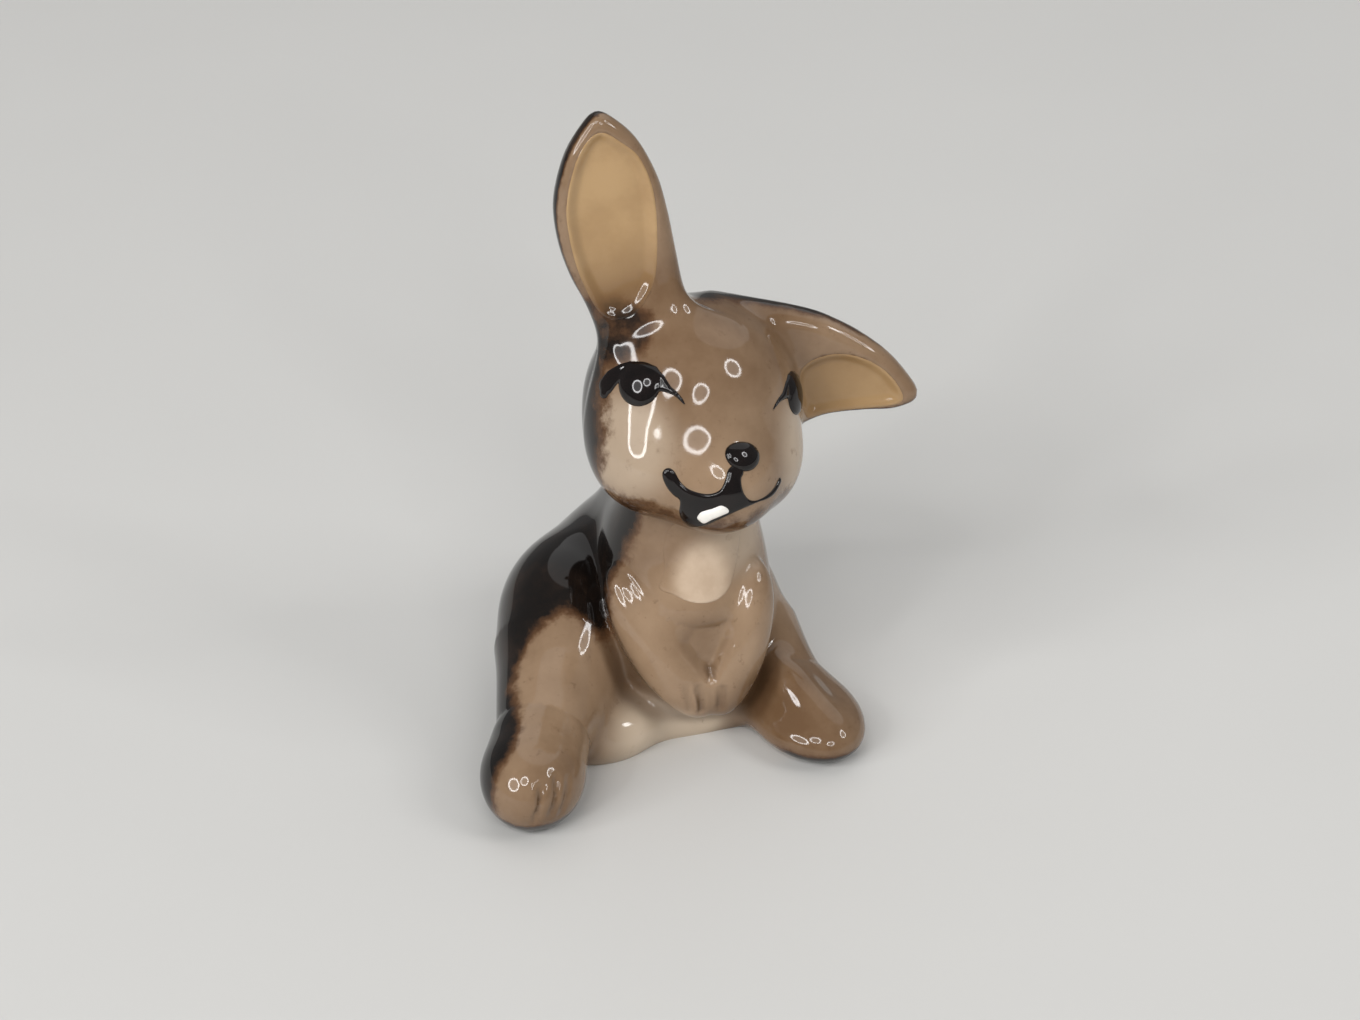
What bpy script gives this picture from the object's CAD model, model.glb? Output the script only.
import math

import bpy
import numpy as np
import openvdb
from mathutils import Matrix, Vector
from mathutils.geometry import tessellate_polygon


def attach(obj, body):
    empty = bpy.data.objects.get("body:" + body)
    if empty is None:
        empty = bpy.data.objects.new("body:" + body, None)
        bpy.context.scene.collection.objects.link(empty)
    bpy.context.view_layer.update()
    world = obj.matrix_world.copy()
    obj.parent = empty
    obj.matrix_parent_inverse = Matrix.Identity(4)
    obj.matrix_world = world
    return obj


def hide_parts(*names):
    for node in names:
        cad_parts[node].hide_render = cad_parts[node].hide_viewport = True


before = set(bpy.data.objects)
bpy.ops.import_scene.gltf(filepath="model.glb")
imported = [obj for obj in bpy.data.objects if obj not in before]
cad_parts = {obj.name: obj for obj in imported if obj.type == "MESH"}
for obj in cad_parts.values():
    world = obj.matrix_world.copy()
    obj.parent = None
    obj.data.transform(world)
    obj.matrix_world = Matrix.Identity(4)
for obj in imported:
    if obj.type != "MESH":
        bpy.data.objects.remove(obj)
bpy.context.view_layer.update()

# A glazed rabbit, sitting with its hind legs forward, one ear up and one ear down.
# Lengths are millimetres, in the frame of the solids: +Z is up, the rabbit faces -Y and its
# right side is at -X. A form is given by its centre, its full sizes and its turns in degrees.
MM = 0.001
TINY = 1e-9

# Body
CHEST = dict(centre=(0.1, -2.3, 7.9), size=(11.2, 12.0, 18.4), turn=(-6, 0, 0))
CROP = dict(centre=(0.2, -3.7, 7.4), size=(9.8, 10.6, 13.4))
BACK = dict(centre=(-0.2, 1.5, 8.6), size=(10.4, 12.4, 16.6))
RUMP = dict(centre=(-1.2, 2.8, 5.5), size=(14.4, 14.0, 13.8))
BELLY = dict(centre=(-0.8, -2.6, 1.0), size=(14.8, 10.0, 6.0))
TAIL = dict(centre=(-0.6, 10.2, 4.1), size=(4.8, 4.8, 5.6))
NECK_WIDTHS = (10.2, 8.4)
NECK_SEAT_SHARE = 0.68

# Head, in its own frame about its centre
HEAD_CENTRE = (0.4, -2.6, 22.5)
HEAD_TURN = (0, 15, 16)
SKULL = dict(centre=(0, 0, 0.61), size=(13.8, 13.2, 13.6))
CHEEK = dict(centre=(3.2, -2.3, -2.0), size=(7.6, 8.8, 7.6))
MUZZLE = dict(centre=(0, -5.5, -2.2), size=(7.4, 7.0, 6.8))

# Hind legs: haunch, knee and ankle widths, foot, and a swelling between leg and belly or along the instep
RIGHT_HAUNCH = dict(centre=(-7.2, -0.8, 6.0), size=(9.4, 12.4, 11.2), turn=(0, 0, -22))
RIGHT_FOOT = dict(centre=(-11.5, -13.1, 2.6), size=(6.8, 8.4, 6.6), turn=(0, 0, -15))
RIGHT_SHIN_WIDTHS = (8.6, 6.2)
RIGHT_WEB = dict(centre=(-6.6, -6.0, 1.2), size=(8.4, 7.6, 5.0), turn=(0, 0, -30))
LEFT_HAUNCH = dict(centre=(3.9, -0.6, 4.2), size=(6.8, 10.4, 8.8), turn=(0, 0, 14))
LEFT_FOOT = dict(centre=(7.2, -8.2, 1.6), size=(7.0, 10.2, 4.2), turn=(0, 0, 20))
LEFT_SHIN_WIDTHS = (6.8, 5.4)
LEFT_RIDGE = dict(start=(5.2, -6.1, 4.7), end=(8.6, -11.6, 2.1), width=2.6)
KNEE_SHARE = 0.35
ANKLE_SHARE = 0.8

# Forelegs: points in the chest as shares of its half sizes aside, forward and up
FORELEG_WIDTH = 4.2
SPINDLE_REACH_SHARE = 1.12
RIGHT_FORELEG_SHARES = ((-0.86, 0.41, 0.4), (-0.04, 1.1, -0.48))
LEFT_FORELEG_SHARES = ((0.73, 0.58, 0.43), (0.26, 1.05, -0.51))

# Ears: outlines are half widths left and right of the middle line, at shares of the length,
# and the panel grows to its full depth between two shares of the length
UPRIGHT_EAR = dict(
    root_shares=(-0.6, 0.1, 0.66),
    turns=((0, -10.5, 0), (84, 0, 0)),
    length=15.7,
    width=7.6,
    thickness=2.4,
    tip_aside=0.3,
    dish_shares=(-0.05, 0.4),
    outline_shares=(
        (-0.3, 0.6, 0.8),
        (0, 0.68, 0.84),
        (0.2, 0.78, 0.84),
        (0.36, 0.94, 0.85),
        (0.52, 1.0, 0.86),
        (0.68, 0.92, 0.82),
        (0.84, 0.62, 0.64),
        (0.94, 0.28, 0.38),
    ),
    lining_shares=(
        (-0.58, 0.17),
        (-0.79, 0.33),
        (-0.84, 0.51),
        (-0.75, 0.68),
        (-0.39, 0.86),
        (0.03, 0.94),
        (0.39, 0.87),
        (0.63, 0.78),
        (0.71, 0.61),
        (0.53, 0.36),
        (0.32, 0.23),
        (-0.1, 0.14),
    ),
)
DROOPING_EAR = dict(
    root_shares=(0.55, 0.1, 0.6),
    turns=((0, 0, -12), (0, 108, 0), (0, 0, -4), (90, 0, 0)),
    length=11.4,
    width=8.0,
    thickness=2.4,
    tip_aside=-0.1,
    dish_shares=(0.0, 0.2),
    outline_shares=(
        (-0.3, 0.6, 0.8),
        (0, 0.82, 1.08),
        (0.26, 0.9, 1.1),
        (0.42, 0.86, 0.98),
        (0.56, 0.78, 0.7),
        (0.74, 0.6, 0.46),
        (0.9, 0.32, 0.28),
    ),
    lining_shares=(
        (0.05, 0.28),
        (-0.2, 0.33),
        (-0.43, 0.44),
        (-0.51, 0.57),
        (-0.44, 0.72),
        (-0.23, 0.85),
        (0.08, 0.93),
        (0.33, 0.8),
        (0.53, 0.65),
        (0.73, 0.52),
        (0.85, 0.44),
        (0.65, 0.35),
        (0.35, 0.28),
    ),
)
EAR_DISH = 0.55
EAR_RIM = 0.9

# How widely the forms run into each other under the glaze
BODY_BLEND = 2.6
BELLY_BLEND = 0.8
CROP_BLEND = 1.6
THIGH_BLEND = 3.2
RIDGE_BLEND = 1.4
HEAD_BLEND = 3.0
NECK_BLEND = 1.2
SHIN_BLEND = 2.0
ANKLE_BLEND = 1.3
LEG_BLEND = 1.0
HIP_BLEND = 3.4
HIP_PLACE = (-2.5, 1.0)
HIP_HEIGHTS = (4.4, 2.2)
PAW_BLEND = 2.4
FORELEG_BLEND = 0.8
TAIL_BLEND = 0.7
UPRIGHT_EAR_BLEND = 2.6
UPRIGHT_EAR_FRONT_BLEND = 4.6
DROOPING_EAR_BLEND = 2.0

# A shallow hollow between the forelegs, as an outline seen from the front, and grooves between toes
RECESS_OUTLINE = ((-2.6, 10.5), (0.1, 10.8), (2.6, 10.3), (2.8, 9.0), (2.0, 7.2), (0.8, 5.4), (-0.7, 7.2), (-1.9, 9.1))
RECESS_DEPTH = 0.55
RECESS_SIDE_EDGE = 0.9
RECESS_TOP_EDGE = 2.6
RECESS_HEIGHTS = (8.2, 10.2)
RECESS_FRONT = -5.0
TOE_GROOVES = (
    ((-11.5, -16.7, 4.2), (-12.0, -17.2, 1.8)),
    ((-10.4, -16.2, 4.4), (-10.9, -17.1, 2.2)),
    ((-9.5, -15.9, 4.1), (-10.2, -16.8, 2.0)),
    ((-0.9, -9.8, 5.6), (-0.7, -9.8, 3.9)),
    ((-0.1, -9.7, 5.4), (0.0, -9.6, 3.8)),
    ((1.4, -9.7, 5.2), (1.3, -9.6, 3.8)),
)
GROOVE_REACH = 0.5
GROOVE_DEPTH = 0.28

# The skin's mesh
VOXEL = 0.25
BLOCK = 8
SKIN_LOW = np.array((-17.0, -19.0, -2.5))
SKIN_HIGH = np.array((15.0, 14.5, 45.5))
SLOPE_STEP = 0.05


def turned(x, y, z):
    """The rotation matrix of turns about X, then Y, then Z, in degrees."""
    matrix = Matrix.Rotation(math.radians(z), 3, "Z")
    matrix = matrix @ Matrix.Rotation(math.radians(y), 3, "Y")
    matrix = matrix @ Matrix.Rotation(math.radians(x), 3, "X")
    return np.array(matrix)


HEAD_FRAME = turned(*HEAD_TURN)


def ellipsoid(points, centre, size, turn=(0, 0, 0)):
    """Distance to an ellipsoid, exact at its surface."""
    local = (points - np.array(centre)) @ turned(*turn)
    half = np.array(size) / 2
    reach = np.linalg.norm(local / half, axis=1)
    slope = np.linalg.norm(local / half**2, axis=1)
    return reach * (reach - 1) / np.maximum(slope, TINY)


def round_cone(points, start, end, start_width, end_width):
    """Distance to a tapered bar with a ball at each end."""
    run = np.array(end) - np.array(start)
    length = np.linalg.norm(run)
    axis = run / length
    offset = points - np.array(start)
    along = offset @ axis
    aside = np.linalg.norm(offset - along[:, None] * axis, axis=1)
    slope = (start_width - end_width) / 2 / length
    lift = math.sqrt(1 - slope**2)
    foot = np.clip(along + aside * slope / lift, 0, length)
    radius = start_width / 2 - slope * foot
    return np.hypot(aside, along - foot) - radius


def spindle(points, start, end, width):
    """Distance to a long ellipsoid that runs from start to end and a little past both."""
    run = np.array(end) - np.array(start)
    length = np.linalg.norm(run)
    offset = points - np.array(start) - run / 2
    along = offset @ run / length
    aside = np.sqrt(np.maximum((offset**2).sum(axis=1) - along**2, 0))
    local = np.stack([aside, np.zeros(len(points)), along], axis=1)
    return ellipsoid(local, (0, 0, 0), (width, width, length * SPINDLE_REACH_SHARE))


def blended(first, second, width):
    """Two distances joined, with a fillet of about that width where they meet."""
    near = np.maximum(width - np.abs(first - second), 0) / width
    return np.minimum(first, second) - near**3 * width / 6


def smooth_step(low, high, values):
    """0 below low, 1 above high, and smooth between."""
    share = np.clip((values - low) / (high - low), 0, 1)
    return share * share * (3 - 2 * share)


def in_head(local):
    """A point of the head's own frame, in the figure's frame."""
    return np.array(HEAD_CENTRE) + HEAD_FRAME @ np.array(local, float)


def curve_through(points, closed, steps=12):
    """Points along a smooth curve through a few points."""
    known = np.array(points, float)
    if closed:
        padded = np.vstack([known[-1:], known, known[:2]])
    else:
        padded = np.vstack([2 * known[:1] - known[1:2], known, 2 * known[-1:] - known[-2:-1]])
    share = np.arange(steps)[:, None] / steps
    spans = []
    for before, start, end, after in zip(padded, padded[1:], padded[2:], padded[3:]):
        bend = 2 * before - 5 * start + 4 * end - after
        twist = 3 * (start - end) + after - before
        spans.append(start + (share * (end - before) + share**2 * bend + share**3 * twist) / 2)
    if not closed:
        spans.append(known[-1:])
    return np.vstack(spans)


def outline_distance(places, outline):
    """Signed distance in a plane to a closed outline, below 0 inside it."""
    nearest = np.full(len(places), np.inf)
    inside = np.zeros(len(places), bool)
    for start, end in zip(outline, np.roll(outline, -1, axis=0)):
        run = end - start
        offset = places - start
        share = np.clip(offset @ run / max(run @ run, TINY), 0, 1)
        nearest = np.minimum(nearest, np.linalg.norm(offset - share[:, None] * run, axis=1))
        crosses = (start[1] > places[:, 1]) != (end[1] > places[:, 1])
        rise = run[1] if abs(run[1]) > TINY else TINY
        inside ^= crosses & (places[:, 0] < start[0] + run[0] * (places[:, 1] - start[1]) / rise)
    return np.where(inside, -nearest, nearest)


def stroke_distance(places, path, widths):
    """Signed distance in a plane to a brush stroke along a path, with a width at each point of it."""
    nearest = np.full(len(places), np.inf)
    for start, end, start_width, end_width in zip(path, path[1:], widths, widths[1:]):
        run = end - start
        offset = places - start
        share = np.clip(offset @ run / max(run @ run, TINY), 0, 1)
        radius = (start_width + (end_width - start_width) * share) / 2
        nearest = np.minimum(nearest, np.linalg.norm(offset - share[:, None] * run, axis=1) - radius)
    return nearest


class FlatField:
    """A signed distance in a plane, worked out once on a grid, smoothed, and read between its points."""

    def __init__(self, outline, step=0.1, margin=3.0, smoothings=10):
        self.low = outline.min(axis=0) - margin
        self.step = step
        counts = np.ceil((outline.max(axis=0) + margin - self.low) / step).astype(int) + 1
        across, along = np.meshgrid(*(np.arange(count) for count in counts), indexing="ij")
        places = self.low + step * np.stack([across.ravel(), along.ravel()], axis=1)
        values = outline_distance(places, outline).reshape(counts)
        for _ in range(smoothings):
            for axis in (0, 1):
                ahead = np.roll(values, -1, axis)
                behind = np.roll(values, 1, axis)
                values = (ahead + 2 * values + behind) / 4
        self.values = values

    def __call__(self, places):
        spot = (places - self.low) / self.step
        top = np.array(self.values.shape) - 3
        cell = np.clip(np.floor(spot).astype(int), 1, top)
        share = np.clip(spot - cell, 0, 1)
        total = 0
        weights = [self.weights(share[:, axis]) for axis in (0, 1)]
        for i in range(4):
            row = 0
            for j in range(4):
                row = row + weights[1][j] * self.values[cell[:, 0] + i - 1, cell[:, 1] + j - 1]
            total = total + weights[0][i] * row
        return total

    @staticmethod
    def weights(share):
        """How much each of four points in a row counts, at a share of the way past the second."""
        return (
            (1 - share) ** 3 / 6,
            (3 * share**3 - 6 * share**2 + 4) / 6,
            (-3 * share**3 + 3 * share**2 + 3 * share + 1) / 6,
            share**3 / 6,
        )


class Ear:
    """A pressed leaf with a sunk panel on its front."""

    def __init__(
        self, root_shares, turns, length, width, thickness, tip_aside, dish_shares, outline_shares, lining_shares
    ):
        half_skull = np.array(SKULL["size"]) / 2
        self.root = in_head(np.array(root_shares) * half_skull)
        self.frame = np.eye(3)
        for turn in turns:
            self.frame = self.frame @ turned(*turn)
        self.length = length
        self.thickness = thickness
        self.dish_shares = dish_shares
        half_width = width / 2
        right = [(right * half_width, along * length) for along, left, right in outline_shares]
        left = [(-left * half_width, along * length) for along, left, right in outline_shares]
        self.leaf = FlatField(curve_through([*right, (tip_aside, length), *reversed(left)], closed=False))
        lining = [(across * half_width, along * length) for across, along in lining_shares]
        self.panel_outline = curve_through(lining, closed=True)
        self.panel = FlatField(self.panel_outline)

    def local(self, points):
        return (points - self.root) @ self.frame

    def field(self, points):
        middle = self.root + self.frame[:, 1] * self.length / 2
        far = np.linalg.norm(points - middle, axis=1) - self.length
        result = far + self.thickness
        close = far < self.thickness
        if close.any():
            result[close] = self.near_field(points[close])
        return result

    def near_field(self, points):
        across, along, front = self.local(points).T
        flat = np.stack([across, along], axis=1)
        share = np.clip(along / self.length, 0, 1)
        half = self.thickness / 2 * (1 - 0.35 * share**2)
        depth = EAR_DISH * smooth_step(*self.dish_shares, share)
        dish = depth * smooth_step(-0.1, EAR_RIM, -self.panel(flat))
        top = half - dish
        middle = (top - half) / 2
        half = (top + half) / 2
        rounding = 0.9 * half
        outward = self.leaf(flat) + rounding
        upward = np.abs(front - middle) - half + rounding
        inner = np.minimum(np.maximum(outward, upward), 0)
        return inner + np.hypot(np.maximum(outward, 0), np.maximum(upward, 0)) - rounding


upright_ear = Ear(**UPRIGHT_EAR)
drooping_ear = Ear(**DROOPING_EAR)


def torso_field(points):
    chest_centre = np.array(CHEST["centre"])
    neck_top = np.array(HEAD_CENTRE) - (0, 0, SKULL["size"][2] / 2 * NECK_SEAT_SHARE)
    form = blended(ellipsoid(points, **CHEST), ellipsoid(points, **BACK), BODY_BLEND)
    form = blended(form, ellipsoid(points, **CROP), CROP_BLEND)
    form = blended(form, ellipsoid(points, **RUMP), BODY_BLEND)
    form = blended(form, round_cone(points, chest_centre, neck_top, *NECK_WIDTHS), BODY_BLEND)
    return blended(form, ellipsoid(points, **BELLY), BELLY_BLEND)


def head_field(points):
    local = (points - np.array(HEAD_CENTRE)) @ HEAD_FRAME
    mirrored = local * (-1, 1, 1)
    cheeks = blended(ellipsoid(local, **CHEEK), ellipsoid(mirrored, **CHEEK), HEAD_BLEND)
    form = blended(ellipsoid(local, **SKULL), cheeks, HEAD_BLEND)
    return blended(form, ellipsoid(local, **MUZZLE), HEAD_BLEND)


def leg_field(points, haunch, foot, shin_widths):
    haunch_centre = np.array(haunch["centre"])
    way = np.array(foot["centre"]) - haunch_centre
    knee = haunch_centre + KNEE_SHARE * way
    ankle = haunch_centre + ANKLE_SHARE * way
    form = blended(ellipsoid(points, **haunch), round_cone(points, knee, ankle, *shin_widths), SHIN_BLEND)
    return blended(form, ellipsoid(points, **foot), ANKLE_BLEND)


def right_leg_field(points):
    leg = leg_field(points, RIGHT_HAUNCH, RIGHT_FOOT, RIGHT_SHIN_WIDTHS)
    return np.minimum(leg, ellipsoid(points, **RIGHT_WEB))


def left_leg_field(points):
    leg = leg_field(points, LEFT_HAUNCH, LEFT_FOOT, LEFT_SHIN_WIDTHS)
    return blended(leg, spindle(points, **LEFT_RIDGE), RIDGE_BLEND)


def foreleg_field(points, place_shares):
    half_chest = np.array(CHEST["size"]) / 2 * (1, -1, 1)
    shoulder, paw = (np.array(CHEST["centre"]) + half_chest * shares for shares in place_shares)
    return spindle(points, shoulder, paw, FORELEG_WIDTH)


def form_fields(points):
    """The distance to each form of the figure."""
    return {
        "torso": torso_field(points),
        "head": head_field(points),
        "upright_ear": upright_ear.field(points),
        "drooping_ear": drooping_ear.field(points),
        "right_hind_leg": right_leg_field(points),
        "left_hind_leg": left_leg_field(points),
        "right_foreleg": foreleg_field(points, RIGHT_FORELEG_SHARES),
        "left_foreleg": foreleg_field(points, LEFT_FORELEG_SHARES),
        "tail": ellipsoid(points, **TAIL),
    }


def relief(points):
    """How far the skin is pressed in at each point, by the hollow of the chest and the grooves of the toes."""
    depth = np.zeros(len(points))
    front = points[:, 1] < RECESS_FRONT
    if front.any():
        near = points[front]
        edge = curve_through(RECESS_OUTLINE, closed=True, steps=4)
        high = smooth_step(*RECESS_HEIGHTS, near[:, 2])
        softness = RECESS_SIDE_EDGE + (RECESS_TOP_EDGE - RECESS_SIDE_EDGE) * high
        pressed = RECESS_DEPTH * smooth_step(0, softness, -outline_distance(near[:, (0, 2)], edge))
        for start, end in np.array(TOE_GROOVES):
            run = end - start
            share = np.clip((near - start) @ run / (run @ run), 0, 1)
            away = np.linalg.norm(near - start - share[:, None] * run, axis=1)
            pressed = pressed + GROOVE_DEPTH * np.maximum(1 - away / GROOVE_REACH, 0) ** 2
        depth[front] = pressed
    return depth


def skin_field(points):
    """The distance to the figure's skin, below 0 inside."""
    behind = smooth_step(*HIP_PLACE, points[:, 1])
    low = smooth_step(*HIP_HEIGHTS, points[:, 2])
    hip = LEG_BLEND + (HIP_BLEND - LEG_BLEND) * np.maximum(behind, low)
    right_leg = leg_field(points, RIGHT_HAUNCH, RIGHT_FOOT, RIGHT_SHIN_WIDTHS)
    right_leg = blended(right_leg, ellipsoid(points, **RIGHT_WEB), THIGH_BLEND)
    right_foreleg = foreleg_field(points, RIGHT_FORELEG_SHARES)
    left_foreleg = foreleg_field(points, LEFT_FORELEG_SHARES)
    ear_front = smooth_step(0, upright_ear.thickness / 2, upright_ear.local(points)[:, 2])
    ear_blend = UPRIGHT_EAR_BLEND + (UPRIGHT_EAR_FRONT_BLEND - UPRIGHT_EAR_BLEND) * ear_front
    total = blended(torso_field(points), head_field(points), NECK_BLEND)
    total = blended(total, right_leg, hip)
    total = blended(total, left_leg_field(points), hip)
    total = blended(total, blended(right_foreleg, left_foreleg, PAW_BLEND), FORELEG_BLEND)
    total = blended(total, ellipsoid(points, **TAIL), TAIL_BLEND)
    total = blended(total, upright_ear.field(points), ear_blend)
    total = blended(total, drooping_ear.field(points), DROOPING_EAR_BLEND)
    return total + relief(points)


def slope_of(field, points):
    """The gradient of a field at points."""
    steps = np.eye(3) * SLOPE_STEP
    parts = [(field(points + step) - field(points - step)) / (2 * SLOPE_STEP) for step in steps]
    return np.stack(parts, axis=1)


def outward(field, points):
    """The unit normals of a field at points."""
    slope = slope_of(field, points)
    return slope / np.maximum(np.linalg.norm(slope, axis=1, keepdims=True), TINY)


def onto_surface(field, points, rounds=3):
    """Points moved along the field's slope until they lie on its surface."""
    for _ in range(rounds):
        slope = slope_of(field, points)
        steep = np.maximum((slope**2).sum(axis=1, keepdims=True), 0.05)
        points = points - field(points)[:, None] * slope / steep
    return points


def skin_mesh():
    """The skin of the whole figure, as points and triangles."""
    blocks = np.ceil((SKIN_HIGH - SKIN_LOW) / (VOXEL * BLOCK)).astype(int)
    corners = np.stack(np.meshgrid(*(np.arange(count) for count in blocks), indexing="ij"), axis=-1).reshape(-1, 3)
    within = np.stack(np.meshgrid(*(np.arange(BLOCK),) * 3, indexing="ij"), axis=-1).reshape(-1, 3)
    block_size = VOXEL * BLOCK
    middles = SKIN_LOW + block_size * (corners + 0.5)
    rough = skin_field(middles)
    near = np.abs(rough) < 1.2 * block_size
    values = np.repeat(rough[:, None], BLOCK**3, axis=1)
    places = SKIN_LOW + VOXEL * (corners[near][:, None] * BLOCK + within)
    values[near] = skin_field(places.reshape(-1, 3)).reshape(-1, BLOCK**3)
    volume = values.reshape(*blocks, BLOCK, BLOCK, BLOCK).transpose(0, 3, 1, 4, 2, 5).reshape(blocks * BLOCK)
    grid = openvdb.FloatGrid()
    grid.copyFromArray(np.ascontiguousarray(volume, dtype=np.float32))
    spots, quads = grid.convertToQuads(isovalue=0)
    points = onto_surface(skin_field, SKIN_LOW + VOXEL * spots.astype(float))
    corners = points[quads]
    first_way = np.linalg.norm(corners[:, 0] - corners[:, 2], axis=1)
    second_way = np.linalg.norm(corners[:, 1] - corners[:, 3], axis=1)
    turn = (second_way < first_way).astype(int)
    picks = (np.arange(4) + turn[:, None]) % 4
    quads = np.take_along_axis(quads.astype(int), picks, axis=1)
    return points, np.vstack([quads[:, (0, 1, 2)], quads[:, (0, 2, 3)]])


def cut(points, faces, level, is_skin):
    """Splits triangles along level 0; gives all points, then the faces and skin marks below and above."""
    level = np.where(np.abs(level) < TINY, TINY, level)
    below = level < 0
    count = below[faces].sum(axis=1)
    crossed = (count == 1) | (count == 2)
    mixed = faces[crossed]
    lone_is_below = below[mixed].sum(axis=1) == 1
    lone = np.argmax(below[mixed] == lone_is_below[:, None], axis=1)
    mixed = np.take_along_axis(mixed, (np.arange(3) + lone[:, None]) % 3, axis=1)
    sides = np.sort(np.vstack([mixed[:, (0, 1)], mixed[:, (0, 2)]]), axis=1)
    edges, which = np.unique(sides, axis=0, return_inverse=True)
    share = level[edges[:, 0]] / (level[edges[:, 0]] - level[edges[:, 1]])
    fresh = points[edges[:, 0]] + share[:, None] * (points[edges[:, 1]] - points[edges[:, 0]])
    first, second = which.reshape(2, -1) + len(points)
    tips = np.stack([mixed[:, 0], first, second], axis=1)
    near_rests = np.stack([first, mixed[:, 1], mixed[:, 2]], axis=1)
    far_rests = np.stack([first, mixed[:, 2], second], axis=1)
    marks = is_skin[crossed]

    def side(whole, tip_here):
        kept = [faces[count == whole], tips[tip_here], near_rests[~tip_here], far_rests[~tip_here]]
        kept_marks = [is_skin[count == whole], marks[tip_here], marks[~tip_here], marks[~tip_here]]
        return np.vstack(kept), np.concatenate(kept_marks)

    return np.vstack([points, fresh]), side(3, lone_is_below), side(0, ~lone_is_below)


def open_loops(faces):
    """The loops of edges that only one face has, each a list of points in the faces' own direction."""
    edges = np.vstack([faces[:, (0, 1)], faces[:, (1, 2)], faces[:, (2, 0)]])
    known = {(int(a), int(b)) for a, b in edges}
    ahead = {a: b for a, b in known if (b, a) not in known}
    loops = []
    while ahead:
        start, spot = ahead.popitem()
        loop = [start]
        while spot != start:
            loop.append(spot)
            spot = ahead.pop(spot)
        loops.append(loop)
    return loops


def lids(points, faces):
    """Triangles that close every open loop of some faces."""
    made = []
    for loop in open_loops(faces):
        sheet = tessellate_polygon([[Vector(points[spot]) for spot in loop]])
        triangles = np.array([[loop[corner] for corner in triangle] for triangle in sheet])
        sides = {(int(a), int(b)) for t in triangles for a, b in ((t[0], t[1]), (t[1], t[2]), (t[2], t[0]))}
        same_way = (loop[0], loop[1]) in sides
        made.append(triangles[:, ::-1] if same_way else triangles)
    return np.vstack(made) if made else np.zeros((0, 3), int)


def largest_part(faces):
    """Marks the faces of the largest connected part."""
    label = np.arange(faces.max() + 1)
    settled = False
    while not settled:
        low = label[faces].min(axis=1)
        fresh = label.copy()
        for corner in range(3):
            np.minimum.at(fresh, faces[:, corner], low)
        fresh = fresh[fresh]
        settled = (fresh == label).all()
        label = fresh
    kinds = label[faces[:, 0]]
    names, counts = np.unique(kinds, return_counts=True)
    return kinds == names[np.argmax(counts)]


def new_object(name, points, faces, normals=None, attributes=None):
    """A smooth mesh object from points in millimetres, with its own normals and attributes where given."""
    used, faces = np.unique(faces, return_inverse=True)
    faces = faces.reshape(-1, 3)
    mesh = bpy.data.meshes.new(name)
    mesh.from_pydata((points[used] * MM).tolist(), [], faces.tolist())
    mesh.polygons.foreach_set("use_smooth", np.ones(len(faces), bool))
    for key, values in (attributes or {}).items():
        layer = mesh.attributes.new(key, "FLOAT", "POINT")
        layer.data.foreach_set("value", np.ascontiguousarray(values[used], dtype=np.float32))
    if normals is not None:
        mesh.normals_split_custom_set(normals.tolist())
    mesh.update()
    piece = bpy.data.objects.new(name, mesh)
    bpy.context.scene.collection.objects.link(piece)
    return piece


CUT_ORDER = (
    "tail",
    "right_foreleg",
    "left_foreleg",
    "right_hind_leg",
    "left_hind_leg",
    "upright_ear",
    "drooping_ear",
    "head",
)


def skin_pieces():
    """The skin cut into the figure's castings, each closed by a lid that it shares with its neighbour."""
    points, faces = skin_mesh()
    points, _, (faces, is_skin) = cut(points, faces, points[:, 2], np.ones(len(faces), bool))
    ground = lids(points, faces)
    rest = np.vstack([faces, ground])
    is_skin = np.concatenate([is_skin, np.zeros(len(ground), bool)])
    made = {}
    left_over = ["torso", *CUT_ORDER]
    for name in CUT_ORDER:
        left_over.remove(name)
        fields = form_fields(points)
        level = fields[name] - np.min([fields[other] for other in left_over], axis=0)
        points, (piece, piece_skin), (rest, is_skin) = cut(points, rest, level, is_skin)
        main = largest_part(piece)
        rest = np.vstack([rest, piece[~main]])
        is_skin = np.concatenate([is_skin, piece_skin[~main]])
        piece, piece_skin = piece[main], piece_skin[main]
        seat = lids(points, piece)
        on_lid = np.zeros(len(seat), bool)
        made[name] = np.vstack([piece, seat]), np.concatenate([piece_skin, on_lid])
        rest = np.vstack([rest, seat[:, ::-1]])
        is_skin = np.concatenate([is_skin, on_lid])
    made["torso"] = rest, is_skin
    return points, made


def corner_normals(points, faces, is_skin, skin_normals):
    """Normals for each corner of each face: the skin's own on the skin, and flat on a lid."""
    a, b, c = (points[faces[:, corner]] for corner in range(3))
    flat = np.cross(b - a, c - a)
    flat /= np.maximum(np.linalg.norm(flat, axis=1, keepdims=True), TINY)
    normals = np.where(is_skin[:, None, None], skin_normals[faces], flat[:, None, :])
    return normals.reshape(-1, 3)


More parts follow.
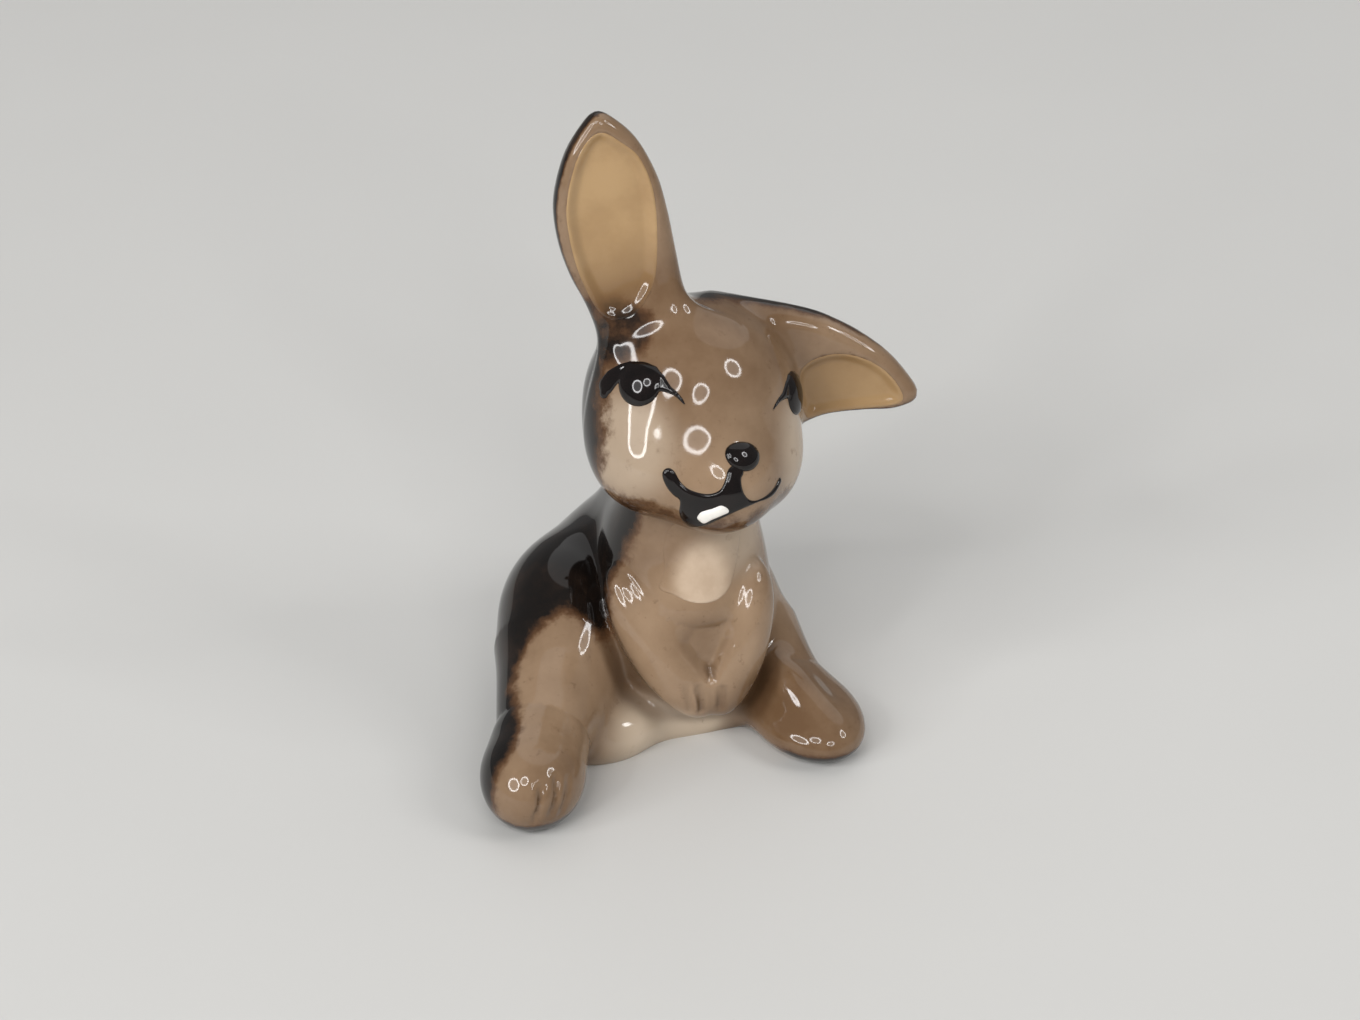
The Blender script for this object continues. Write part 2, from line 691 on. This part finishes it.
# The wash's edge seen from above: dark glaze lies behind it
WASH_OUTLINE = (
    (-2.9, -4.9),
    (-4.6, -4.6),
    (-5.7, -6.3),
    (-6.8, -5.9),
    (-8.4, -5.4),
    (-10.9, -6.4),
    (-12.2, -8.4),
    (-12.3, -12.6),
    (-13.6, -14.6),
    (-15.2, -15.8),
    (-20, -16),
    (-20, 20),
    (14, 20),
    (12, 3),
    (7, 2.5),
    (3, 1.5),
    (-1, -1.5),
)
WASH_SOFTNESS = 1.0
SPRAY_WAY = np.array((-0.5, 0.85, 0.15))
HEAD_SPRAY = (-0.15, 0.5)
UPRIGHT_EAR_SPRAY = (-0.25, 0.3)
DROOPING_EAR_SPRAY = (-0.58, 0.4)
EAR_SPRAY_SOFTNESS = 1.5
EAR_ROOT_PATCH = dict(centre=(-5.2, -3.8, 29.4), size=(6.4, 5.4, 4.6))
PATCH_SOFTNESS = 0.7
PATCH_WASH = 0.62
CHIN_WASH = 0.44
CHIN_SLOPES = (0.1, -0.6)
SOLE_HEIGHTS = (1.8, 0.8)
SOLE_PLACE = (-10.0, -12.0)


def head_wash(points, normals):
    """Dark glaze on the head and ears: sprayed from behind, a patch at an ear's root, and under the chin."""
    spray = np.array(HEAD_SPRAY)[:, None]
    skull = head_field(points)
    for ear, ear_spray in ((upright_ear, UPRIGHT_EAR_SPRAY), (drooping_ear, DROOPING_EAR_SPRAY)):
        share = smooth_step(-EAR_SPRAY_SOFTNESS, EAR_SPRAY_SOFTNESS, skull - ear.field(points))
        spray = spray + (np.array(ear_spray)[:, None] - spray) * share
    sprayed = smooth_step(*spray, normals @ SPRAY_WAY)
    patch = PATCH_WASH * smooth_step(-PATCH_SOFTNESS, PATCH_SOFTNESS, -ellipsoid(points, **EAR_ROOT_PATCH))
    chin = CHIN_WASH * smooth_step(*CHIN_SLOPES, normals[:, 2])
    return np.maximum(np.maximum(sprayed, patch), chin)


def body_wash(points):
    """Dark glaze on the body and legs: the back and right side, and a line round the right foot's sole."""
    edge = curve_through(WASH_OUTLINE, closed=True, steps=4)
    back = smooth_step(-WASH_SOFTNESS, WASH_SOFTNESS, -outline_distance(points[:, :2], edge))
    sole = smooth_step(*SOLE_HEIGHTS, points[:, 2]) * smooth_step(*SOLE_PLACE, points[:, 1])
    return np.maximum(back, sole)


PALE_PATCHES = (
    (dict(centre=(-4.5, -8.0, 23.4), size=(6.4, 6.4, 6.6)), 0.52),
    (dict(centre=(7.4, -6.2, 20.6), size=(4.4, 8.0, 8.0)), 0.66),
    (dict(centre=(-2.6, -8.0, 1.0), size=(10.0, 5.0, 5.4)), 1.0),
    (dict(centre=(3.0, -5.6, 15.0), size=(5.0, 5.0, 6.0)), 0.56),
)
PALE_SOFTNESS = 1.3

# Where the tan is lighter or darker than elsewhere: 0 is dark brown and 1 is light tan
PLAIN_TONE = 0.5
TONE_PATCHES = (
    (dict(centre=(1.0, -4.0, 30.0), size=(16.0, 14.0, 9.0)), 0.22),
    (dict(centre=(1.0, -10.6, 21.6), size=(7.0, 5.0, 5.0)), 0.85),
    (dict(centre=(0.0, -8.0, 8.0), size=(9.0, 6.0, 12.0)), 0.95),
    (dict(centre=(0.4, -9.0, 8.6), size=(3.6, 4.0, 5.0)), 0.45),
    (dict(centre=(-8.8, -8.4, 6.6), size=(6.0, 8.0, 6.0)), 0.75),
    (dict(centre=(-11.4, -16.0, 2.0), size=(7.0, 6.0, 5.0)), 0.3),
    (dict(centre=(6.0, -8.0, 2.0), size=(12.0, 14.0, 9.0)), 0.16),
    (dict(centre=(4.8, -9.0, 2.4), size=(4.0, 5.0, 4.0)), 0.0),
)
TONE_SOFTNESS = 1.6


def pale_of(points):
    """How much cream glaze lies on each point, 0 to 1."""
    cream = 0
    for patch, strength in PALE_PATCHES:
        share = smooth_step(-PALE_SOFTNESS, PALE_SOFTNESS, -ellipsoid(points, **patch))
        cream = np.maximum(cream, strength * share)
    return cream


def tone_of(points):
    """How light the tan is at each point, 0 to 1."""
    tone = np.full(len(points), PLAIN_TONE)
    for patch, patch_tone in TONE_PATCHES:
        share = smooth_step(-TONE_SOFTNESS, TONE_SOFTNESS, -ellipsoid(points, **patch))
        tone = tone + (patch_tone - tone) * share
    return tone


def hollow_of(points, normals, depth):
    """How far the skin closes in above each point, 0 on open ground and 1 in a deep groove."""
    return np.clip(1 - skin_field(points + normals * depth) / depth, 0, 1)


def socket(node, name):
    """A node's input, by name, or the first of that name that is switched on."""
    return next(item for item in node.inputs if item.name == name and item.enabled)


def add_node(tree, kind, inputs=(), **settings):
    """A new node; an input that is a socket is linked, and any other is set."""
    node = tree.nodes.new(kind)
    for key, value in settings.items():
        setattr(node, key, value)
    for key, value in dict(inputs).items():
        target = socket(node, key)
        if isinstance(value, bpy.types.NodeSocket):
            tree.links.new(value, target)
        else:
            target.default_value = value
    return node


def paint(red, green, blue):
    """A colour in the shader's own values, from the values that a screen shows, 0 to 255."""
    shown = np.array((red, green, blue)) / 255
    linear = np.where(shown <= 0.04045, shown / 12.92, ((shown + 0.055) / 1.055) ** 2.4)
    return (*linear, 1.0)


def noise(tree, scale, detail=3.0, roughness=0.5):
    place = add_node(tree, "ShaderNodeTexCoord").outputs["Object"]
    inputs = {"Vector": place, "Scale": scale, "Detail": detail, "Roughness": roughness}
    return add_node(tree, "ShaderNodeTexNoise", inputs).outputs["Fac"]


def ramp(tree, value, low, high, smooth=True):
    """A value stretched so that low gives 0 and high gives 1."""
    inputs = {"Value": value, "From Min": low, "From Max": high}
    kind = "SMOOTHSTEP" if smooth else "LINEAR"
    return add_node(tree, "ShaderNodeMapRange", inputs, interpolation_type=kind).outputs["Result"]


def mix(tree, share, first, second, kind="MIX"):
    inputs = {"Factor": share, "A": first, "B": second}
    return add_node(tree, "ShaderNodeMix", inputs, data_type="RGBA", blend_type=kind).outputs["Result"]


def maths(tree, kind, first, second):
    node = add_node(tree, "ShaderNodeMath", operation=kind)
    for target, value in zip(node.inputs, (first, second)):
        if isinstance(value, bpy.types.NodeSocket):
            tree.links.new(value, target)
        else:
            target.default_value = value
    return node.outputs["Value"]


def attribute(tree, name):
    return add_node(tree, "ShaderNodeAttribute", attribute_name=name).outputs["Fac"]


def glossy(tree, colour, roughness, bump_height=None, bump_distance=0.0):
    """A glazed surface of one colour or a pattern."""
    inputs = {"Base Color": colour, "Roughness": roughness, "Specular IOR Level": 0.45}
    if bump_height is not None:
        bump = add_node(tree, "ShaderNodeBump", {"Height": bump_height, "Distance": bump_distance})
        inputs["Normal"] = bump.outputs["Normal"]
    shader = add_node(tree, "ShaderNodeBsdfPrincipled", inputs)
    output = add_node(tree, "ShaderNodeOutputMaterial")
    tree.links.new(shader.outputs["BSDF"], output.inputs["Surface"])


def new_material(name):
    material = bpy.data.materials.new(name)
    material.use_nodes = True
    material.node_tree.nodes.clear()
    return material


def brown_colour(tree):
    """Tan glaze with paler and darker clouds, dark in its grooves and under the wash."""
    cloud = maths(tree, "SUBTRACT", noise(tree, 260, 4.0, 0.6), 0.5)
    tone = maths(tree, "ADD", attribute(tree, "tone"), cloud)
    colour = mix(tree, ramp(tree, tone, 0, 1, smooth=False), paint(108, 82, 58), paint(160, 134, 108))
    speck = ramp(tree, noise(tree, 1300, 4.0, 0.7), 0.6, 0.74)
    colour = mix(tree, maths(tree, "MULTIPLY", speck, 0.4), colour, paint(98, 72, 50))
    colour = mix(tree, attribute(tree, "pale"), colour, paint(204, 186, 164))
    groove = ramp(tree, attribute(tree, "hollow"), 0.08, 0.6)
    colour = mix(tree, maths(tree, "MULTIPLY", groove, 0.6), colour, paint(84, 60, 40))
    brush = maths(tree, "SUBTRACT", noise(tree, 620, 6.0, 0.7), 0.5)
    wash = maths(tree, "ADD", attribute(tree, "wash"), maths(tree, "MULTIPLY", brush, 1.1))
    colour = mix(tree, ramp(tree, wash, 0.08, 0.45), colour, paint(92, 64, 42))
    streak = ramp(tree, noise(tree, 180, 5.0, 0.65), 0.45, 0.75)
    dark = mix(tree, streak, paint(19, 15, 13), paint(48, 35, 27))
    return mix(tree, ramp(tree, wash, 0.3, 0.8), colour, dark)


def brown_glaze():
    material = new_material("brown_glaze")
    tree = material.node_tree
    glossy(tree, brown_colour(tree), 0.07, noise(tree, 300, 1.0), 0.00004)
    return material


def cream_glaze():
    """Cream that fades into the tan glaze where the attribute cream falls off."""
    material = new_material("cream_glaze")
    tree = material.node_tree
    cloud = ramp(tree, noise(tree, 500, 4.0, 0.6), 0.3, 0.7)
    cream = mix(tree, cloud, paint(194, 170, 146), paint(208, 186, 162))
    colour = mix(tree, attribute(tree, "cream"), brown_colour(tree), cream)
    glossy(tree, colour, 0.07, noise(tree, 300, 1.0), 0.00004)
    return material


def ear_glaze():
    """Warm cream, browner where the attribute root rises, fading into the tan where lining falls off."""
    material = new_material("ear_glaze")
    tree = material.node_tree
    cloud = ramp(tree, noise(tree, 300, 4.0, 0.6), 0.3, 0.7)
    colour = mix(tree, cloud, paint(166, 134, 94), paint(180, 148, 106))
    colour = mix(tree, attribute(tree, "root"), colour, paint(126, 96, 64))
    colour = mix(tree, attribute(tree, "lining"), brown_colour(tree), colour)
    glossy(tree, colour, 0.07, noise(tree, 300, 1.0), 0.00004)
    return material


def flat_glaze(name, first, second, scale):
    """Enamel that varies a little between two colours."""
    material = new_material(name)
    tree = material.node_tree
    cloud = ramp(tree, noise(tree, scale, 4.0, 0.6), 0.3, 0.7)
    glossy(tree, mix(tree, cloud, first, second), 0.07, noise(tree, 300, 1.0), 0.00003)
    return material


materials = {
    "brown_glaze": brown_glaze(),
    "ear_glaze": ear_glaze(),
    "black_enamel": flat_glaze("black_enamel", paint(12, 8, 8), paint(22, 15, 14), 900),
    "white_enamel": flat_glaze("white_enamel", paint(238, 234, 226), paint(250, 247, 240), 900),
    "cream_glaze": cream_glaze(),
}


def add_piece(piece, slot, *nodes):
    """Gives a piece its glaze, sets it on the body and names the solids that it stands for."""
    piece.data.materials.append(materials[slot])
    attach(piece, "root")
    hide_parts(*nodes)


SLIPS = {"head": "neck_slip"}
HEAD_PIECES = ("head", "upright_ear", "drooping_ear")
skin_points, castings = skin_pieces()
skin_normals = outward(skin_field, skin_points)
hollow = hollow_of(skin_points, skin_normals, 1.2)
pale = pale_of(skin_points)
tone = tone_of(skin_points)
on_head = head_wash(skin_points, skin_normals)
on_body = body_wash(skin_points)
for name, (faces, is_skin) in castings.items():
    normals = corner_normals(skin_points, faces, is_skin, skin_normals)
    wash = on_head if name in HEAD_PIECES else on_body
    attributes = {"hollow": hollow, "pale": pale, "tone": tone, "wash": wash}
    piece = new_object(name + "_skin", skin_points, faces, normals, attributes)
    slip = SLIPS.get(name, name + "_slip")
    add_piece(piece, "brown_glaze", *(node for node in (name, slip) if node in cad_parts))


def patch_faces(low, high, step):
    """A grid of places in a plane between two corners, and its triangles."""
    counts = np.ceil((np.array(high) - low) / step).astype(int) + 1
    across, along = np.meshgrid(*(np.arange(count) for count in counts), indexing="ij")
    places = np.array(low) + step * np.stack([across.ravel(), along.ravel()], axis=1)
    index = np.arange(len(places)).reshape(counts)
    a, b, c, d = index[:-1, :-1], index[1:, :-1], index[1:, 1:], index[:-1, 1:]
    triangles = np.stack([a, b, c, a, c, d], axis=-1).reshape(-1, 3)
    return places, triangles


def painted_patch(name, level, low, high, step, origin, axes, thickness, edge, field, bulge=None, looks=None):
    """A thin closed layer on the skin, inside level 0 of a field in a plane, with a rounded edge."""
    places, triangles = patch_faces(low, high, step)
    places, (inside, _), _ = cut(places, triangles, level(places), np.ones(len(triangles), bool))
    used, inside = np.unique(inside, return_inverse=True)
    inside = inside.reshape(-1, 3)
    places = places[used]
    across, along, front = axes
    points = origin + places[:, :1] * across + places[:, 1:] * along
    for _ in range(60):
        points = points - 0.8 * field(points)[:, None] * front
    points = onto_surface(skin_field, points)
    normals = outward(skin_field, points)
    share = np.clip(-level(places) / edge, 0, 1)
    height = thickness * np.sqrt(np.clip(1 - (1 - share) ** 2, 0, 1))
    if bulge is not None:
        height = height + bulge(places)
    top = points + normals * height[:, None]
    bottom = points - normals * 0.08
    count = len(points)
    walls = []
    for loop in open_loops(inside):
        for start, end in zip(loop, loop[1:] + loop[:1]):
            walls.append((end, start, start + count))
            walls.append((end, start + count, end + count))
    faces = np.vstack([inside, inside[:, ::-1] + count, np.array(walls)])
    attributes = {key: np.tile(values, 2) for key, values in (looks(points, normals) if looks else {}).items()}
    return new_object(name, np.vstack([top, bottom]), faces, attributes=attributes)


# Painted face: sizes in millimetres, in the plane that each feature faces
RIGHT_EYE_SIDE_DEGREES = -64
LEFT_EYE_SIDE_DEGREES = 52
EYE_RAISE_DEGREES = 26
PUPIL_WIDTH = 2.8
PUPIL_BULGE = 0.3
LASH_PATH = ((-2.05, -1.5), (-2.08, -1.0), (-1.88, -0.4), (-1.5, 0.15), (-1.0, 0.58), (-0.3, 0.9), (0.4, 1.05), (0.9, 0.95))
LASH_WIDTHS = (0.7, 1.15, 1.1, 1.0, 0.95, 0.85, 0.8, 0.6)
CORNER_PATH = ((1.1, 0.65), (1.84, 0.56), (2.3, 0.54), (2.75, 0.38), (3.1, 0.18))
CORNER_WIDTHS = (1.1, 0.46, 0.3, 0.2, 0.06)
NOSE_PLACE = (-0.12, 0.63)
NOSE_SIZE = (2.42, 1.46)
MOUTH_OUTLINE = (
    (-4.77, -1.15),
    (-4.55, -0.83),
    (-4.2, -0.88),
    (-3.76, -1.46),
    (-3.2, -1.76),
    (-2.35, -1.71),
    (-1.7, -1.3),
    (-1.4, -0.6),
    (-1.2, -0.05),
    (-0.6, 0.3),
    (-0.23, -0.13),
    (-0.4, -0.53),
    (-0.26, -1.12),
    (0.1, -1.6),
    (0.6, -1.85),
    (1.23, -1.83),
    (1.93, -1.65),
    (2.56, -1.37),
    (3.0, -0.98),
    (3.22, -1.25),
    (2.53, -1.84),
    (1.81, -1.96),
    (0.91, -2.03),
    (-0.36, -2.55),
    (-1.23, -3.32),
    (-1.6, -3.95),
    (-2.1, -4.7),
    (-2.75, -4.36),
    (-3.3, -3.6),
    (-3.58, -2.7),
    (-3.95, -2.46),
    (-4.4, -2.05),
    (-4.7, -1.55),
)
TOOTH_OUTLINE = (
    (-2.47, -3.42),
    (-2.39, -2.92),
    (-1.93, -2.52),
    (-1.5, -2.18),
    (-1.07, -2.29),
    (-0.86, -2.59),
    (-1.2, -2.93),
    (-1.58, -3.34),
    (-1.88, -3.82),
    (-2.26, -3.69),
)
ENAMEL_THICKNESS = 0.14
ENAMEL_EDGE = 0.25
PAINT_STEP = 0.08


def paint_eye(name, side_degrees):
    """A pupil with its lash and inner corner, on the side of the head."""
    side = math.copysign(1, side_degrees)
    around = math.radians(abs(side_degrees))
    up = math.radians(EYE_RAISE_DEGREES)
    front = HEAD_FRAME @ (side * math.sin(around) * math.cos(up), -math.cos(around) * math.cos(up), math.sin(up))
    across = HEAD_FRAME @ (-side * math.cos(around), -math.sin(around), 0)
    along = np.cross(front, across) * -side
    lash = np.array(LASH_PATH)
    corner = np.array(CORNER_PATH)

    def level(places):
        shape = np.linalg.norm(places, axis=1) - PUPIL_WIDTH / 2
        shape = blended(shape, stroke_distance(places, lash, LASH_WIDTHS), 0.15)
        return blended(shape, stroke_distance(places, corner, CORNER_WIDTHS), 0.15)

    def bulge(places):
        return PUPIL_BULGE * np.maximum(1 - (places**2).sum(axis=1) / (PUPIL_WIDTH / 2) ** 2, 0)

    origin = np.array(HEAD_CENTRE) + front * 12
    axes = (across, along, front)
    low, high = (-3.4, -2.4), (3.4, 2.4)
    return painted_patch(name, level, low, high, PAINT_STEP, origin, axes, ENAMEL_THICKNESS, ENAMEL_EDGE, head_field, bulge)


def paint_front(name, level, low, high, thickness, edge):
    """Paint on the front of the face, drawn in the head's upright plane."""
    origin = in_head((0, -14, 0))
    axes = (HEAD_FRAME[:, 0], HEAD_FRAME[:, 2], -HEAD_FRAME[:, 1])
    return painted_patch(name, level, low, high, PAINT_STEP, origin, axes, thickness, edge, head_field)


def nose_level(places):
    reach = (places - NOSE_PLACE) / (np.array(NOSE_SIZE) / 2)
    return (np.linalg.norm(reach, axis=1) - 1) * min(NOSE_SIZE) / 2


mouth_curve = curve_through(MOUTH_OUTLINE, closed=True, steps=6)
tooth_curve = curve_through(TOOTH_OUTLINE, closed=True, steps=6)

add_piece(paint_eye("right_eye_enamel", RIGHT_EYE_SIDE_DEGREES), "black_enamel", "right_eye")
add_piece(paint_eye("left_eye_enamel", LEFT_EYE_SIDE_DEGREES), "black_enamel", "left_eye")
add_piece(paint_front("nose_enamel", nose_level, (-1.6, -0.4), (1.4, 1.7), 0.4, 0.8), "black_enamel", "nose")
add_piece(
    paint_front("mouth_enamel", lambda q: outline_distance(q, mouth_curve), (-5.2, -5.2), (3.8, 0.7), 0.14, 0.25),
    "black_enamel",
    "mouth",
)
add_piece(
    paint_front("tooth_enamel", lambda q: outline_distance(q, tooth_curve), (-2.8, -4.2), (-0.5, -1.8), 0.3, 0.3),
    "white_enamel",
    "tooth",
)


def skin_looks(points, wash):
    """What a patch of glaze needs to match the skin under it."""
    return {"pale": pale_of(points), "tone": tone_of(points), "wash": wash, "hollow": np.zeros(len(points))}


def ear_lining(ear, name, root_span, fade_span):
    """The glaze in an ear's panel: between shares of the ear's length it turns browner, or fades out."""
    axes = (ear.frame[:, 0], ear.frame[:, 1], ear.frame[:, 2])
    origin = ear.root + 5 * ear.frame[:, 2]
    low = ear.panel_outline.min(axis=0) - 0.5
    high = ear.panel_outline.max(axis=0) + 0.5

    def level(places):
        return ear.panel(places) + 0.1

    def looks(points, normals):
        share = ear.local(points)[:, 1] / ear.length
        own = {"root": smooth_step(*root_span, share), "lining": smooth_step(*fade_span, share)}
        return own | skin_looks(points, head_wash(points, normals))

    return painted_patch(name, level, low, high, 0.15, origin, axes, 0.06, 0.3, ear.field, looks=looks)


upright_lining = ear_lining(upright_ear, "upright_ear_glaze", (0.5, 0.2), (0.14, 0.3))
drooping_lining = ear_lining(drooping_ear, "drooping_ear_glaze", (1.1, -0.2), (0.0, 0.2))
add_piece(upright_lining, "ear_glaze", "upright_ear_lining")
add_piece(drooping_lining, "ear_glaze", "drooping_ear_lining")

# Bib on the chest, seen from the front, and the place and reach of its palest part
BIB_OUTLINE = (
    (-1.9, 14.6),
    (-1.9, 13.2),
    (-2.3, 12.0),
    (-1.4, 11.7),
    (-0.7, 11.4),
    (0.2, 11.2),
    (1.2, 11.2),
    (2.1, 11.6),
    (2.6, 12.4),
    (3.0, 13.6),
    (3.2, 15.2),
    (2.4, 16.4),
    (0.4, 17.0),
    (-1.3, 16.2),
)
BIB_MIDDLE = (0.5, 12.5)
BIB_REACH = (2.3, 3.2)


def bib_looks(points, normals):
    """How cream each point of the bib is, and what shows where the cream fades."""
    away = np.linalg.norm((points[:, (0, 2)] - BIB_MIDDLE) / BIB_REACH, axis=1)
    return {"cream": smooth_step(1.05, 0.45, away)} | skin_looks(points, body_wash(points))


def chest_bib():
    curve = curve_through(BIB_OUTLINE, closed=True, steps=6)
    axes = (np.array((1.0, 0, 0)), np.array((0, 0, 1.0)), np.array((0, -1.0, 0)))
    origin = np.array((0, -16.0, 0))
    low = curve.min(axis=0) - 0.5
    high = curve.max(axis=0) + 0.5

    def level(places):
        return outline_distance(places, curve)

    return painted_patch("chest_bib_glaze", level, low, high, 0.12, origin, axes, 0.06, 1.0, torso_field, looks=bib_looks)


add_piece(chest_bib(), "cream_glaze", "chest_bib")

# Stage: a pale floor
FLOOR_SIDE = 3.0


def pale_floor():
    material = new_material("pale_floor")
    tree = material.node_tree
    cloud = noise(tree, 40, 2.0)
    colour = mix(tree, cloud, paint(211, 210, 207), paint(215, 214, 211))
    shader = add_node(tree, "ShaderNodeBsdfPrincipled", {"Base Color": colour, "Roughness": 0.6})
    output = add_node(tree, "ShaderNodeOutputMaterial")
    tree.links.new(shader.outputs["BSDF"], output.inputs["Surface"])
    half = FLOOR_SIDE / 2
    mesh = bpy.data.meshes.new("floor")
    mesh.from_pydata([(-half, -half, 0), (half, -half, 0), (half, half, 0), (-half, half, 0)], [], [(0, 1, 2, 3)])
    mesh.materials.append(material)
    floor = bpy.data.objects.new("floor", mesh)
    bpy.context.scene.collection.objects.link(floor)


pale_floor()

# Light: a pale room, a soft lamp overhead and round lamps that are brightest at their rims.
# A lamp is given by its azimuth from the front, its height in degrees and its width.
ROOM_LIGHT = 0.22
LAMP_DISTANCE = 0.6
RIM_LAMPS = ((-30, 46, 0.2), (8, 36, 0.17), (-58, 29, 0.3), (62, 42, 0.18))
RIM_BRIGHTNESS = 18.0
LAMP_RIM_SHARE = 0.78
LAMP_MIDDLE_SHARE = 0.08
SOFT_LAMP = (150, 60, 0.9)
SOFT_BRIGHTNESS = 0.6


def facing(way):
    """The rotation that turns -Z against a way, so that a lamp or camera there looks back at the figure."""
    return Vector(way).to_track_quat("Z", "Y")


def rim_light(tree):
    """Makes a round lamp's rim bright and its middle dim."""
    tree.nodes.clear()
    place = add_node(tree, "ShaderNodeNewGeometry").outputs["Parametric"]
    offset = add_node(tree, "ShaderNodeVectorMath", operation="SUBTRACT")
    tree.links.new(place, offset.inputs[0])
    offset.inputs[1].default_value = (0.5, 0.5, 0.0)
    reach = add_node(tree, "ShaderNodeVectorMath", operation="LENGTH")
    tree.links.new(offset.outputs["Vector"], reach.inputs[0])
    rim = maths(tree, "GREATER_THAN", reach.outputs["Value"], LAMP_RIM_SHARE / 2)
    strength = maths(tree, "MAXIMUM", rim, LAMP_MIDDLE_SHARE)
    emission = add_node(tree, "ShaderNodeEmission", {"Strength": strength})
    output = add_node(tree, "ShaderNodeOutputLight")
    tree.links.new(emission.outputs["Emission"], output.inputs["Surface"])


def add_lamp(name, azimuth, height, width, brightness):
    """A round lamp that looks at the figure."""
    level = math.cos(math.radians(height))
    way = (
        math.sin(math.radians(azimuth)) * level,
        -math.cos(math.radians(azimuth)) * level,
        math.sin(math.radians(height)),
    )
    light = bpy.data.lights.new(name, "AREA")
    light.shape = "DISK"
    light.size = width
    light.energy = brightness * math.pi * math.pi * (width / 2) ** 2
    lamp = bpy.data.objects.new(name, light)
    lamp.location = Vector(way) * LAMP_DISTANCE
    lamp.rotation_mode = "QUATERNION"
    lamp.rotation_quaternion = facing(way)
    bpy.context.scene.collection.objects.link(lamp)
    return light


add_lamp("soft_lamp", *SOFT_LAMP, SOFT_BRIGHTNESS)
for number, place in enumerate(RIM_LAMPS):
    light = add_lamp(f"rim_lamp_{number}", *place, RIM_BRIGHTNESS)
    light.use_nodes = True
    rim_light(light.node_tree)

world = bpy.data.worlds.new("room")
world.use_nodes = True
background = world.node_tree.nodes["Background"]
background.inputs["Color"].default_value = (1.0, 1.0, 1.0, 1.0)
background.inputs["Strength"].default_value = ROOM_LIGHT
bpy.context.scene.world = world

# Camera: above and a little to the figure's right
FRAME_PIXELS = (1360, 1020)
VIEW_AZIMUTH = math.radians(-10)
VIEW_ELEVATION = math.radians(33)
VIEW_DISTANCE = 260
PIXELS_PER_MM = 14.8
ORIGIN_PIXEL = (675, 672)
SENSOR_WIDTH = 36.0


def add_camera():
    level = math.cos(VIEW_ELEVATION)
    back = Vector((math.sin(VIEW_AZIMUTH) * level, -math.cos(VIEW_AZIMUTH) * level, math.sin(VIEW_ELEVATION)))
    right = Vector((math.cos(VIEW_AZIMUTH), math.sin(VIEW_AZIMUTH), 0))
    up = back.cross(right)
    aside = (FRAME_PIXELS[0] / 2 - ORIGIN_PIXEL[0]) / PIXELS_PER_MM
    above = (ORIGIN_PIXEL[1] - FRAME_PIXELS[1] / 2) / PIXELS_PER_MM
    place = right * aside + up * above + back * VIEW_DISTANCE
    data = bpy.data.cameras.new("camera")
    data.sensor_width = SENSOR_WIDTH
    data.lens = SENSOR_WIDTH * VIEW_DISTANCE * PIXELS_PER_MM / FRAME_PIXELS[0]
    data.clip_start = 0.01
    camera = bpy.data.objects.new("camera", data)
    camera.matrix_world = Matrix.Translation(place * MM) @ Matrix((right, up, back)).transposed().to_4x4()
    bpy.context.scene.collection.objects.link(camera)
    bpy.context.scene.camera = camera


add_camera()
bpy.context.scene.view_settings.view_transform = "Standard"
